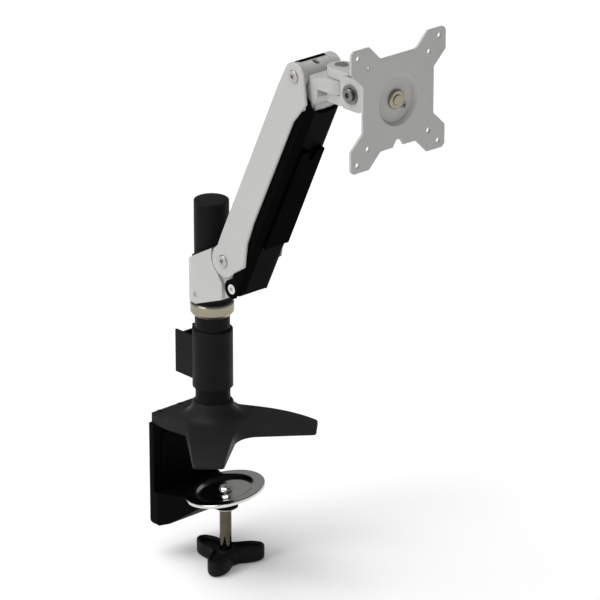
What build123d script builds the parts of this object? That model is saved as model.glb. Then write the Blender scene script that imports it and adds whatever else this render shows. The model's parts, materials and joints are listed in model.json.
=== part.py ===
from build123d import *
import os
from math import cos, hypot, radians, sin

# A desk monitor arm: a screw clamp and a two-legged base, a pole, and one gas spring arm.
# +Z is up, the screen side faces -Y, and the origin is on the pole's axis at desk-top level.

os.makedirs("parts", exist_ok=True)

# ---- driving dimensions (mm) ----
pole_r = 17.0
pole_wall = 2.5
pole_top = 238.0
pole_seat = 11.0               # the pole stands on this floor inside the hub
pad_thick = 1.5                # rubber pads under the base, they touch the desk at z = 0
fit = 0.06                     # radial clearance of a pin or shaft in its hole

leg_reach = 101.0              # pole axis to the end of a front leg
leg_angle = 44.0               # each front leg, away from straight ahead
leg_tip_half = 14.6
leg_root_half = 29.0
hub_r = 20.0
hub_top = 31.0
flange_top = 11.0

plate_half = 41.0              # back plate of the clamp
plate_front = 42.0
plate_thick = 8.0
jaw_top = -70.0
jaw_bottom = -106.0
boss_bottom = -77.0
boss_r = 12.5
screw_y = -17.0                # the clamp screw stands under the front of the hub
screw_r = 5.9
nut_r = 7.6
disc_r = 40.0
disc_top = -57.5
disc_floor = -61.0
disc_under = -63.2
disc_lean = 10.4               # the disc stands loose on its screw and leans back to the left
disc_level_turn = 47.5         # direction of the level line that it leans about, from +X
disc_rim = 3.4
disc_hole_r = 4.4
washer_top = -64.2             # domed thrust washer between the screw and the disc
washer_bottom = -68.0
knob_top = -121.5
knob_bottom = -137.0
knob_lobe_r = 10.0
knob_lobe_at = 29.0
knob_turn = 91.0               # direction of the first lobe, degrees from +X

sleeve_bottom = 45.0
sleeve_top = 106.0
sleeve_r = 19.8
clip_half = 12.0               # cable box behind the sleeve
clip_back = 41.0
clip_bottom = 51.0
clip_top = 95.0
clip_wall = 2.2

collar_r = 21.2
collar_bottom = 121.0
collar_top = 134.3
bracket_bottom = 136.5
bracket_r = 22.0
bush_outer = 19.0

arm_angle = 64.66              # arm above horizontal, as set up
arm_length = 230.8             # between the two pivots of the beam
beam_pivot = (43.9, 193.0)     # forward of the pole axis, above the desk
link_offset = (8.4, -26.8)     # from a beam pivot to the link pivot beside it
beam_half = 24.6               # half the beam's width
beam_inner = 22.2
beam_back = 14.3               # pivot line to the beam's back
beam_front = -17.0             # pivot line to the beam's open front edge
web_inner = 11.9
boss_inner = 16.6              # the beam's upper pivot bosses reach in to here
link_half = 21.6
link_inner = 19.0
link_rear = 4.0                # link pivot line to the rear edge of its walls
link_front = -10.9             # link pivot line to its front face
link_flat = 14.0               # half width of the front face, inside its bevels
link_bevel = -6.0              # where the bevels meet the walls
cheek_half = 18.5              # half width of what stands between the link's ears
bolt_r = 4.0                   # shoulder bolts of the beam
beam_bush_r = 5.6
bolt_head_r = 6.1
link_pin_r = 3.0
link_head_r = 4.9
spring_r = 9.0                 # gas spring cylinder
rod_r = 4.0
spring_low = (-7.3, -8.2)      # lower eye and upper eye, along the beam and behind its pivot line
spring_high = (197.0, -2.0)

pan_y = -180.0                 # vertical swivel axis of the head
nose_r = 17.0
nose_bottom = 393.5
nose_top = 406.5
swivel_pin_r = 5.0
tilt_y = -214.7
tilt_z = 402.0
yoke_half = 21.0
yoke_wall = 3.0
yoke_back = -203.0
plate_y = -255.0               # front face of the screen plate
screen_plate_thick = 2.5
dish_depth = 4.5
dish_r = 24.0
spindle_r = 5.0
vesa_large = 100.0
vesa_small = 75.0
vesa_hole_r = 2.5

# ---- planes and points worked out from them ----
low = (Align.CENTER, Align.CENTER, Align.MIN)
arm_dir = (cos(radians(arm_angle)), sin(radians(arm_angle)))
head_pivot = (beam_pivot[0] + arm_length * arm_dir[0], beam_pivot[1] + arm_length * arm_dir[1])
barrel_r = 11.0                # the head carrier's pivot barrel, inside the beam
lug_r = 7.8                    # round the link's pins, inside the link
lug_end_r = 5.9                # the same lugs beside the link's bevels
link_low = (beam_pivot[0] + link_offset[0], beam_pivot[1] + link_offset[1])
link_high = (head_pivot[0] + link_offset[0], head_pivot[1] + link_offset[1])
link_gap = hypot(*link_offset)
anchor = (beam_pivot[0] + link_offset[0] * 10 / link_gap, beam_pivot[1] + link_offset[1] * 10 / link_gap)
plate_mid = plate_front + plate_thick / 2
side = Plane(origin=(0, 0, 0), x_dir=(0, -1, 0), z_dir=(-1, 0, 0))       # x forward, y up
arm_side = Plane(                                                        # x along the arm, y to its back
    origin=(0, -beam_pivot[0], beam_pivot[1]), x_dir=(0, -arm_dir[0], arm_dir[1]), z_dir=(-1, 0, 0))
link_side = Plane(
    origin=(0, -link_low[0], link_low[1]), x_dir=(0, -arm_dir[0], arm_dir[1]), z_dir=(-1, 0, 0))
link_section = Plane(origin=link_side.origin, x_dir=(1, 0, 0), z_dir=link_side.x_dir)   # y to the back
front_face = Plane(origin=(0, plate_y, tilt_z), x_dir=(1, 0, 0), z_dir=(0, -1, 0))
across = (0, 90, 0)            # turns a primitive's axis to lie along X
forward = (90, 0, 0)           # turns a primitive's axis to lie along Y


def arm_point(along, back):
    """A point of the arm's side plane as (forward, up)."""
    return (beam_pivot[0] + along * arm_dir[0] - back * arm_dir[1],
            beam_pivot[1] + along * arm_dir[1] + back * arm_dir[0])


def finish(piece, name):
    """Label a finished piece and write it under its own name."""
    piece.part.label = name
    export_step(piece.part, f"parts/{name}.step")


# ---- base ----
def leg_outline(turn):
    """Corners of one front leg, root to tip, in its own direction."""
    ahead = Vector(cos(radians(turn)), sin(radians(turn)))
    sideways = Vector(-ahead.Y, ahead.X)
    tip = ahead * leg_reach
    corners = [sideways * leg_root_half, tip + sideways * leg_tip_half,
               tip - sideways * leg_tip_half, sideways * -leg_root_half]
    return [(corner.X, corner.Y) for corner in corners]


bracket_screw_x = (-27, 0, 27)

with BuildPart() as base_casting:
    with BuildSketch(Plane.XY.offset(pad_thick)) as outline:
        Circle(radius=30)
        for turn in (-90 - leg_angle, -90 + leg_angle):
            Polygon(*leg_outline(turn), align=None)
        Polygon((-33, -6), (33, -6), (38, 24), (38, 50), (-38, 50), (-38, 24), align=None)
        fillet(outline.vertices().filter_by(lambda v: abs(v.X) < 1 and v.Y < -20), radius=24)
        fillet(outline.vertices().filter_by(lambda v: hypot(v.X, v.Y) > 60), radius=4)
    extrude(amount=60)
    with BuildSketch(Plane.XZ):                      # arched section shared by the legs and the hub
        with BuildLine():
            Polyline((hub_r, hub_top - 2), (hub_r - 1.4, hub_top), (0, hub_top), (0, -1),
                     (leg_reach + 6, -1), (leg_reach + 6, 2.6))
            Spline((leg_reach + 6, 2.6), (leg_reach - 12, 8.6), (66, 12.9), (40, 14.8), (27, 17.4),
                   (21.6, 23.5), (hub_r, hub_top - 2))
        make_face()
    revolve(axis=Axis.Z, mode=Mode.INTERSECT)
    with BuildSketch(Plane.XY.offset(flange_top)):
        with Locations((0, 44)):
            Rectangle(90, 34)
    extrude(amount=20, mode=Mode.SUBTRACT)
    with Locations((0, 0, pole_seat)):
        Cylinder(radius=pole_r, height=40, align=low, mode=Mode.SUBTRACT)
    with Locations((0, 0, pad_thick)):
        Cylinder(radius=8.2, height=5.2, align=low, mode=Mode.SUBTRACT)
        Cylinder(radius=4.2, height=20, align=low, mode=Mode.SUBTRACT)
    with Locations(*[(x, plate_mid, flange_top) for x in bracket_screw_x]):
        CounterSinkHole(radius=2.56, counter_sink_radius=5.2)
finish(base_casting, "base_casting")

with BuildPart() as base_pads:
    for turn in (-90 - leg_angle, -90 + leg_angle):
        pad = Plane(origin=(80 * cos(radians(turn)), 80 * sin(radians(turn)), 0),
                    x_dir=(cos(radians(turn)), sin(radians(turn)), 0), z_dir=(0, 0, 1))
        with BuildSketch(pad):
            RectangleRounded(26, 20, 4)
        extrude(amount=pad_thick)
    with BuildSketch():
        Circle(radius=15)
        with Locations((0, 27)):
            RectangleRounded(56, 20, 4)
    extrude(amount=pad_thick)
finish(base_pads, "base_pads")

with BuildPart() as clamp_bracket:
    with BuildSketch(Plane.YZ):
        Polygon((plate_front, pad_thick), (plate_front + plate_thick, pad_thick),
                (plate_front + plate_thick, jaw_bottom), (plate_front - 2, jaw_bottom),
                (26, -100.5), (screw_y + boss_r, boss_bottom), (screw_y - boss_r, boss_bottom),
                (screw_y - boss_r, jaw_top), (plate_front, jaw_top), align=None)
    extrude(amount=plate_half, both=True)
    with BuildSketch(Plane.XY.offset(jaw_bottom - 1)):
        with BuildLine():
            Polyline((-boss_r, screw_y), (-plate_half, plate_front - 4),
                     (-plate_half, plate_front + plate_thick),
                     (plate_half, plate_front + plate_thick), (plate_half, plate_front - 4),
                     (boss_r, screw_y))
            ThreePointArc((boss_r, screw_y), (0, screw_y - boss_r), (-boss_r, screw_y))
        make_face()
    extrude(amount=120, mode=Mode.INTERSECT)
    fillet(clamp_bracket.edges().filter_by(Axis.Z).filter_by(
        lambda e: e.center().Y > plate_front + plate_thick - 1), radius=3)
    fillet(clamp_bracket.edges().filter_by(
        lambda e: e.center().Z < jaw_bottom + 1 and abs(e.center().X) > plate_half - 4
        and abs(e.length) > 5), radius=5)
    with Locations((0, screw_y, jaw_top + 1)):
        Cylinder(radius=nut_r, height=60, mode=Mode.SUBTRACT)
    with Locations(*[(x, plate_mid, pad_thick) for x in bracket_screw_x]):
        Hole(radius=2.5, depth=18)
finish(clamp_bracket, "clamp_bracket")

with BuildPart() as bracket_screws:
    for x in bracket_screw_x:
        with Locations((x, plate_mid, flange_top - 2.6)):
            Cone(bottom_radius=2.5, top_radius=5.0, height=2.5, align=low)
        with Locations((x, plate_mid, flange_top - 22)):
            Cylinder(radius=2.5, height=19.5, align=low)
        with BuildSketch(Plane.XY.offset(flange_top)):
            with Locations((x, plate_mid)):
                RegularPolygon(radius=2.0, side_count=6)
        extrude(amount=-2, mode=Mode.SUBTRACT)
finish(bracket_screws, "bracket_screws")

with BuildPart() as back_pad:
    with BuildSketch(Plane.XZ.offset(-plate_front)):
        with Locations((0, -32)):
            RectangleRounded(60, 46, 4)
    extrude(amount=pad_thick)
finish(back_pad, "back_pad")

with BuildPart() as clamp_nut:
    with Locations((0, screw_y, boss_bottom - 2)):
        Cylinder(radius=nut_r + 2.4, height=2, align=low)
    with Locations((0, screw_y, boss_bottom)):
        Cylinder(radius=nut_r, height=jaw_top - boss_bottom, align=low)
    with Locations((0, screw_y, jaw_top)):
        Hole(radius=screw_r + fit)
finish(clamp_nut, "clamp_nut")

# ---- pole ----
with BuildPart() as pole_tube:
    with BuildSketch(Plane.XY.offset(pole_seat)):
        Circle(radius=pole_r)
        Circle(radius=pole_r - pole_wall, mode=Mode.SUBTRACT)
    extrude(amount=pole_top - 2 - pole_seat)
finish(pole_tube, "pole_tube")

with BuildPart() as pole_plug:
    with BuildSketch(Plane.XY.offset(pole_seat)):
        Circle(radius=pole_r - pole_wall)
        Circle(radius=4, mode=Mode.SUBTRACT)
    extrude(amount=16)
finish(pole_plug, "pole_plug")

with BuildPart() as pole_bolt:
    with BuildSketch(Plane.XY.offset(2.2)):
        Circle(radius=6.5)
    extrude(amount=4.5)
    with BuildSketch(Plane.XY.offset(2.2)):
        RegularPolygon(radius=3.5, side_count=6)
    extrude(amount=3, mode=Mode.SUBTRACT)
    with BuildSketch(Plane.XY.offset(6.7)):
        Circle(radius=4)
    extrude(amount=17)
finish(pole_bolt, "pole_bolt")

with BuildPart() as pole_cap:
    with BuildSketch(Plane.XZ):
        with BuildLine():
            Polyline((0, pole_top - 12), (pole_r - pole_wall, pole_top - 12),
                     (pole_r - pole_wall, pole_top - 2),
                     (pole_r, pole_top - 2), (pole_r, pole_top - 0.8), (pole_r - 0.8, pole_top),
                     (0, pole_top - 0.4), close=True)
        make_face()
    revolve(axis=Axis.Z)
    with Locations((0, 0, pole_top - 12)):
        Cylinder(radius=pole_r - pole_wall - 2, height=8, align=low, mode=Mode.SUBTRACT)
finish(pole_cap, "pole_cap")

# ---- clamp disc, screw and knob ----
level_line = (cos(radians(disc_level_turn)), sin(radians(disc_level_turn)), 0)
disc_up = (-level_line[1] * sin(radians(disc_lean)), level_line[0] * sin(radians(disc_lean)),
           cos(radians(disc_lean)))
disc_mid = (disc_floor + disc_under) / 2
disc_section = Plane(origin=(0, screw_y, disc_mid), x_dir=level_line,    # x outwards, y up through the disc
                     z_dir=(level_line[1] * disc_up[2], -level_line[0] * disc_up[2],
                            level_line[0] * disc_up[1] - level_line[1] * disc_up[0]))
floor_up = disc_floor - disc_mid
rim_up = disc_top - disc_mid

with BuildPart() as clamp_disc:
    with BuildSketch(disc_section):
        with BuildLine():
            Polyline((disc_hole_r, floor_up), (26.0, floor_up), (30.0, rim_up), (disc_r - 1.2, rim_up))
            ThreePointArc((disc_r - 1.2, rim_up), (disc_r - 0.35, rim_up - 0.35), (disc_r, rim_up - 1.2))
            Polyline((disc_r, rim_up - 1.2), (disc_r, rim_up - disc_rim), (disc_r - 1.8, rim_up - disc_rim),
                     (disc_r - 1.8, rim_up - 2.2), (32.2, rim_up - 2.2), (27.4, -floor_up),
                     (disc_hole_r, -floor_up), (disc_hole_r, floor_up))
        make_face()
    revolve(axis=Axis(disc_section.origin, disc_section.y_dir))
finish(clamp_disc, "clamp_disc")

with BuildPart() as disc_bush:
    with BuildSketch(Plane(origin=(0, screw_y, 0), x_dir=(1, 0, 0), z_dir=(0, -1, 0))):
        with BuildLine():
            Polyline((3.06, washer_top), (3.8, washer_top), (9.5, washer_top - 1.3), (9.5, washer_bottom),
                     (3.06, washer_bottom), close=True)
        make_face()
    revolve(axis=Axis((0, screw_y, 0), (0, 0, 1)))
finish(disc_bush, "disc_bush")

with BuildPart() as clamp_screw:
    with Locations((0, screw_y, knob_bottom + 6)):
        Cylinder(radius=screw_r, height=washer_bottom - knob_bottom - 6, align=low)
    with Locations((0, screw_y, washer_bottom - 11)):
        Cylinder(radius=3.0, height=20, align=low, mode=Mode.SUBTRACT)
    chamfer(clamp_screw.edges().filter_by(GeomType.CIRCLE).group_by(Axis.Z)[0], length=1)
finish(clamp_screw, "clamp_screw")

head_seat = disc_floor + 1.4   # the screw's flange leaves the disc room to lean
with BuildPart() as disc_screw:
    with Locations((0, screw_y, washer_bottom - 9)):
        Cylinder(radius=3.0, height=head_seat - washer_bottom + 9, align=low)
    with Locations((0, screw_y, head_seat)):
        Cylinder(radius=6.5, height=0.8, align=low)
    with BuildSketch(Plane.XY.offset(head_seat)):
        with Locations((0, screw_y)):
            RegularPolygon(radius=5.6, side_count=6)
    extrude(amount=3.4)
    with BuildSketch(Plane.XY.offset(head_seat + 3.4)):
        with Locations((0, screw_y)):
            Circle(radius=2.6)
    extrude(amount=-2.4, mode=Mode.SUBTRACT)
finish(disc_screw, "disc_screw")

with BuildPart() as clamp_knob:
    with BuildSketch(Plane(origin=(0, screw_y, knob_bottom))) as knob_outline:
        with PolarLocations(knob_lobe_at, 3, start_angle=knob_turn):
            Circle(radius=knob_lobe_r)
        Circle(radius=17)
        with PolarLocations(knob_lobe_at / 2, 3, start_angle=knob_turn):
            Rectangle(knob_lobe_at, 2 * knob_lobe_r - 1)
        fillet(knob_outline.vertices().filter_by(lambda v: hypot(v.X, v.Y - screw_y) < 24), radius=7)
    extrude(amount=knob_top - knob_bottom)
    fillet(clamp_knob.faces().sort_by(Axis.Z)[-1].outer_wire().edges(), radius=1.6)
    fillet(clamp_knob.faces().sort_by(Axis.Z)[0].outer_wire().edges(), radius=2.5)
    with BuildSketch(Plane(origin=(0, screw_y, knob_top))):
        with PolarLocations(knob_lobe_at, 3, start_angle=knob_turn):
            Circle(radius=knob_lobe_r - 3)
        Circle(radius=14)
        with PolarLocations(knob_lobe_at / 2, 3, start_angle=knob_turn):
            Rectangle(knob_lobe_at, 2 * knob_lobe_r - 7)
    extrude(amount=-3, mode=Mode.SUBTRACT)
    with Locations((0, screw_y, knob_top - 4)):
        Cone(bottom_radius=11, top_radius=9, height=3.4, align=low)
    with Locations((0, screw_y, knob_bottom + 6)):
        Cylinder(radius=screw_r, height=20, align=low, mode=Mode.SUBTRACT)
    with BuildSketch(Plane(origin=(0, screw_y, knob_bottom))):
        RegularPolygon(radius=9.5, side_count=6)
    extrude(amount=6, mode=Mode.SUBTRACT)
finish(clamp_knob, "clamp_knob")

with BuildPart() as knob_nut:
    with BuildSketch(Plane(origin=(0, screw_y, knob_bottom + 0.5))):
        RegularPolygon(radius=9.5, side_count=6)
    extrude(amount=5.5)
finish(knob_nut, "knob_nut")

# ---- cable sleeve ----
with BuildPart() as cable_sleeve:
    with BuildSketch(Plane.XY.offset(sleeve_bottom)):
        Circle(radius=sleeve_r)
    extrude(amount=sleeve_top - sleeve_bottom)
    chamfer(cable_sleeve.edges().filter_by(GeomType.CIRCLE), length=1.2)
    with BuildSketch(Plane.XY.offset(clip_bottom)):
        with Locations((0, clip_back / 2)):
            Rectangle(2 * clip_half, clip_back)
    extrude(amount=clip_top - clip_bottom)
    with BuildSketch(Plane.XY.offset(clip_bottom)):
        with Locations((0, (sleeve_r + clip_back) / 2)):
            Rectangle(2 * (clip_half - clip_wall), clip_back - sleeve_r, align=(Align.CENTER, Align.CENTER))
    extrude(amount=clip_top - clip_bottom, mode=Mode.SUBTRACT)
    with Locations((0, 0, sleeve_bottom)):
        Cylinder(radius=pole_r + fit, height=100, align=low, mode=Mode.SUBTRACT)
finish(cable_sleeve, "cable_sleeve")

with BuildPart() as cable_lid:
    with BuildSketch(Plane.XY.offset(clip_bottom + 1)):
        with Locations((0, clip_back - clip_wall / 2)):
            Rectangle(2 * (clip_half - clip_wall), clip_wall)
    extrude(amount=clip_top - clip_bottom - 6)
    fillet(cable_lid.edges().filter_by(Axis.Y), radius=1.5)
finish(cable_lid, "cable_lid")

# ---- height collar ----
with BuildPart() as height_collar:
    with BuildSketch(Plane.XZ):
        with BuildLine():
            Polyline((pole_r + fit, collar_bottom), (18.6, collar_bottom), (collar_r, collar_bottom + 3.4),
                     (collar_r, collar_top - 1.4), (collar_r - 1.2, collar_top), (pole_r + fit, collar_top),
                     close=True)
        make_face()
    revolve(axis=Axis.Z)
    with Locations((0, 19, (collar_bottom + collar_top) / 2)):
        Cylinder(radius=2.5, height=8, rotation=forward, mode=Mode.SUBTRACT)
finish(height_collar, "height_collar")

with BuildPart() as collar_screw:
    with Locations((0, 19.2, (collar_bottom + collar_top) / 2)):
        Cylinder(radius=2.5, height=3.6, rotation=forward)
    with BuildSketch(Plane.XZ.offset(-21)):
        with Locations((0, (collar_bottom + collar_top) / 2)):
            RegularPolygon(radius=1.4, side_count=6)
    extrude(amount=2, mode=Mode.SUBTRACT)
finish(collar_screw, "collar_screw")

# ---- shoulder bracket ----
with BuildPart() as shoulder_bracket:
    with BuildSketch(side):
        Polygon((-23, bracket_bottom), (1, bracket_bottom), (39, 151.5), (39, 168), (24.5, 188),
                (24.5, 200.2), (-23, 173.2), align=None)
        with Locations(beam_pivot):
            Circle(radius=19.6, mode=Mode.SUBTRACT)
    extrude(amount=bracket_r, both=True)
    with BuildSketch(Plane.XY.offset(100)):
        Circle(radius=bracket_r)
        with Locations((0, -30)):
            Rectangle(2 * bracket_r, 60)
    extrude(amount=120, mode=Mode.INTERSECT)
    fillet(shoulder_bracket.edges().filter_by(Axis.X).sort_by(Axis.Y)[:2], radius=1.2)
    with BuildSketch(side):                          # the narrower cheeks that carry the arm's pivots
        with BuildLine():
            Polyline((22, 150), (39, 152), (link_low[0] - 6.8, link_low[1] - 4.4),
                     (link_low[0] + 5.4, link_low[1] + 1.6),
                     (beam_pivot[0] + 10.3, beam_pivot[1] - 2.0), (beam_pivot[0] - 4, beam_pivot[1] + 9.6),
                     (22, 188), close=True)
        make_face()
        with Locations(beam_pivot):
            Circle(radius=10.5)
        with Locations(link_low):
            Circle(radius=lug_end_r)
    extrude(amount=cheek_half, both=True)
    with BuildSketch(side):
        with Locations(link_low):
            Circle(radius=lug_r)
    extrude(amount=link_flat - 1.5, both=True)
    with BuildSketch(side):                          # slot for the gas spring's rod
        with BuildLine():
            Polyline((anchor[0] - 10, anchor[1] - 12), (anchor[0] + 30, anchor[1] - 12),
                     (anchor[0] + 30, anchor[1] + 60), (anchor[0] - 10, anchor[1] + 60), close=True)
        make_face()
    extrude(amount=6.2, both=True, mode=Mode.SUBTRACT)
    with Locations((0, 0, 90)):
        Cylinder(radius=bush_outer, height=140, align=low, mode=Mode.SUBTRACT)
    with Locations((0, -beam_pivot[0], beam_pivot[1])):
        Cylinder(radius=bolt_r, height=60, rotation=across, mode=Mode.SUBTRACT)
    with Locations((0, -link_low[0], link_low[1])):
        Cylinder(radius=link_pin_r, height=60, rotation=across, mode=Mode.SUBTRACT)
    with Locations((0, -anchor[0], anchor[1])):
        Cylinder(radius=3, height=24, rotation=across, mode=Mode.SUBTRACT)
    with Locations((-21, -1.0, 146.0), (21, -1.0, 146.0)):
        Cylinder(radius=2.5, height=8, rotation=across, mode=Mode.SUBTRACT)
finish(shoulder_bracket, "shoulder_bracket")

with BuildPart() as swivel_bush:
    with BuildSketch(Plane.XZ):
        with BuildLine():
            Polyline((pole_r + fit, collar_top + 0.3), (20.4, collar_top + 0.3), (20.4, bracket_bottom),
                     (bush_outer, bracket_bottom), (bush_outer, 200), (pole_r + fit, 200), close=True)
        make_face()
    revolve(axis=Axis.Z)
    with BuildSketch(side):
        Polygon((-30, 171.4), (30, 205.5), (30, 260), (-30, 260), align=None)
    extrude(amount=40, both=True, mode=Mode.SUBTRACT)
finish(swivel_bush, "swivel_bush")

with BuildPart() as bush_screws:
    for x in (-20.2, 20.2):
        with Locations((x, -1.0, 146.0)):
            Cylinder(radius=2.5, height=2.4, rotation=across)
finish(bush_screws, "bush_screws")

# ---- pivot bolts and pins, each a pair, one on either side of the arm ----
def pivot_bolts(place, inner):
    """Two shoulder bolts with low round heads and hexagon sockets, pointing inwards from both sides."""
    with BuildPart() as pair:
        with Locations((-(inner + beam_half + 0.2) / 2, -place[0], place[1])):
            Cylinder(radius=bolt_r, height=beam_half + 0.2 - inner, rotation=across)
        with BuildSketch(Plane(origin=(-(beam_half + 0.2), -place[0], place[1]), z_dir=(-1, 0, 0))):
            Circle(radius=bolt_head_r)
        extrude(amount=1.4)
        chamfer(pair.faces().sort_by(Axis.X)[0].edges(), length=0.5)
        with BuildSketch(Plane(origin=(-(beam_half + 1.6), -place[0], place[1]), z_dir=(-1, 0, 0))):
            RegularPolygon(radius=2.9, side_count=6)
        extrude(amount=-2.4, mode=Mode.SUBTRACT)
        mirror(about=Plane.YZ)
    return pair


def link_pins(place):
    """Two pins with flush heads, sunk in the link's ears."""
    with BuildPart() as pair:
        with Locations((-(10 + link_half) / 2, -place[0], place[1])):
            Cylinder(radius=link_pin_r, height=link_half - 10, rotation=across)
        with Locations((-(link_half - 0.6), -place[0], place[1])):
            Cylinder(radius=link_head_r, height=1.2, rotation=across)
        with Locations((-(link_half - 0.8), -place[0], place[1])):
            Cylinder(radius=2.2, height=1.6, rotation=across, mode=Mode.SUBTRACT)
        mirror(about=Plane.YZ)
    return pair


beam_low_bolts = pivot_bolts(beam_pivot, 7.0)
finish(beam_low_bolts, "beam_low_bolts")
beam_top_bolts = pivot_bolts(head_pivot, 4.0)
finish(beam_top_bolts, "beam_top_bolts")
link_low_pins = link_pins(link_low)
finish(link_low_pins, "link_low_pins")
link_top_pins = link_pins(link_high)
finish(link_top_pins, "link_top_pins")

with BuildPart() as spring_low_pin:
    with Locations((0, -anchor[0], anchor[1])):
        Cylinder(radius=3, height=24, rotation=across)
finish(spring_low_pin, "spring_low_pin")

# ---- beam: an open channel with its web at the back ----
with BuildPart() as arm_beam:
    with BuildSketch(arm_side):
        Circle(radius=16.4)
        with Locations((arm_length, 0)):
            Circle(radius=barrel_r + 2.4)
        Polygon((-8, 13.2), (20, beam_back), (arm_length - 20, beam_back), (arm_length + 1, barrel_r + 2.2),
                (arm_length + 5.5, -12.2), (216.5, -24.6), (190, -17.6), (62, beam_front),
                (38, -18.8), (13.9, -26.0), (-3, -15.8), align=None)
    extrude(amount=beam_half, both=True)
    rim = arm_beam.edges().filter_by(lambda e: abs(abs(e.center().X) - beam_half) < 0.01)
    fillet(rim, radius=1.8)
    with BuildSketch(arm_side):
        Polygon((-40, -60), (280, -60), (280, web_inner), (-40, web_inner), align=None)
        Polygon((-40, -60), (6, -60), (6, 60), (-40, 60), align=None)
        Polygon((arm_length - 6, -60), (280, -60), (280, 60), (arm_length - 6, 60), align=None)
    extrude(amount=beam_inner, both=True, mode=Mode.SUBTRACT)
    for along, boss_from, r in ((0, cheek_half + 0.3, 9.0), (arm_length, boss_inner, 12.0)):
        for x in (-1, 1):
            with BuildSketch(arm_side.offset(x * boss_from)):
                with Locations((along, 0)):
                    Circle(radius=r)
            extrude(amount=x * (beam_inner - boss_from))
        with BuildSketch(arm_side):
            with Locations((along, 0)):
                Circle(radius=beam_bush_r)
        extrude(amount=40, both=True, mode=Mode.SUBTRACT)
finish(arm_beam, "arm_beam")

with BuildPart() as beam_bushes:
    for along, inner in ((0, cheek_half + 0.3), (arm_length, boss_inner)):
        for x in (-1, 1):
            with BuildSketch(arm_side.offset(x * inner)):
                with Locations((along, 0)):
                    Circle(radius=beam_bush_r)
                    Circle(radius=bolt_r + fit, mode=Mode.SUBTRACT)
            extrude(amount=x * (beam_half - inner))
finish(beam_bushes, "beam_bushes")

with BuildPart() as beam_end_strip:
    with BuildSketch(arm_side):
        with Locations((arm_length, 0)):
            Circle(radius=barrel_r + 2.2)
            Circle(radius=barrel_r + 0.5, mode=Mode.SUBTRACT)
        Polygon((arm_length - 60, -60), (arm_length - 6, -60), (arm_length - 6, 60), (arm_length - 60, 60),
                align=None, mode=Mode.SUBTRACT)
        Polygon((arm_length - 40, 7.6), (arm_length + 60, 7.6), (arm_length + 60, -60),
                (arm_length - 40, -60), align=None, mode=Mode.SUBTRACT)
    extrude(amount=boss_inner, both=True)
finish(beam_end_strip, "beam_end_strip")

with BuildPart() as spring_saddle:
    with BuildSketch(arm_side):
        Polygon((spring_high[0] - 9, web_inner), (spring_high[0] + 9, web_inner),
                (spring_high[0] + 5, spring_high[1] - 3), (spring_high[0] + 2, spring_high[1] - 6),
                (spring_high[0] - 2, spring_high[1] - 6), (spring_high[0] - 5, spring_high[1] - 3),
                align=None)
    extrude(amount=9, both=True)
    with BuildSketch(arm_side):
        with Locations(spring_high):
            Circle(radius=9.2)
    extrude(amount=5.2, both=True, mode=Mode.SUBTRACT)
    with BuildSketch(arm_side):
        with Locations(spring_high):
            Circle(radius=3)
    extrude(amount=20, both=True, mode=Mode.SUBTRACT)
finish(spring_saddle, "spring_saddle")

with BuildPart() as spring_top_pin:
    with BuildSketch(arm_side):
        with Locations(spring_high):
            Circle(radius=3)
    extrude(amount=9.5, both=True)
finish(spring_top_pin, "spring_top_pin")

# ---- gas spring ----
spring_run = (spring_high[0] - spring_low[0], spring_high[1] - spring_low[1])
spring_length = hypot(*spring_run)
spring_from = arm_point(*spring_low)
spring_to = arm_point(*spring_high)
spring_axis = Plane(                                 # x along the spring, from the lower eye
    origin=(0, -spring_from[0], spring_from[1]),
    x_dir=(0, -(spring_to[0] - spring_from[0]), spring_to[1] - spring_from[1]),
    z_dir=(-1, 0, 0))
gland_at = 66.0
piston_at = 104.0

with BuildPart() as spring_cylinder:
    with BuildSketch(spring_axis):
        with BuildLine():
            Polyline((gland_at, 0), (gland_at, spring_r - 1.5), (gland_at + 1.5, spring_r),
                     (spring_length - 22, spring_r), (spring_length - 17, 4), (spring_length - 17, 0),
                     close=True)
        make_face()
    revolve(axis=Axis(spring_axis.origin, spring_axis.x_dir))
    with BuildSketch(spring_axis):
        with BuildLine():
            Polyline((gland_at - 1, 0), (gland_at - 1, rod_r + fit), (gland_at + 8, rod_r + fit),
                     (gland_at + 8, 7.5), (spring_length - 26, 7.5), (spring_length - 26, 0), close=True)
        make_face()
    revolve(axis=Axis(spring_axis.origin, spring_axis.x_dir), mode=Mode.SUBTRACT)
    with BuildSketch(spring_axis):
        with Locations((spring_length, 0)):
            Circle(radius=7)
        with Locations((spring_length - 12, 0)):
            Rectangle(14, 7)
    extrude(amount=4.5, both=True)
    with BuildSketch(spring_axis):
        with Locations((spring_length, 0)):
            Circle(radius=3)
    extrude(amount=20, both=True, mode=Mode.SUBTRACT)
finish(spring_cylinder, "spring_cylinder")

with BuildPart() as spring_rod:
    with BuildSketch(spring_axis):
        with BuildLine():
            Polyline((6, 0), (6, rod_r), (piston_at - 8, rod_r), (piston_at - 8, 7.44), (piston_at, 7.44),
                     (piston_at, 0), close=True)
        make_face()
    revolve(axis=Axis(spring_axis.origin, spring_axis.x_dir))
    with BuildSketch(spring_axis):
        Circle(radius=8.2)
    extrude(amount=4.5, both=True)
    with BuildSketch(spring_axis):     # the eye has room round its pin, so that the arm can lift
        Circle(radius=5.4)
    extrude(amount=20, both=True, mode=Mode.SUBTRACT)
finish(spring_rod, "spring_rod")

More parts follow.
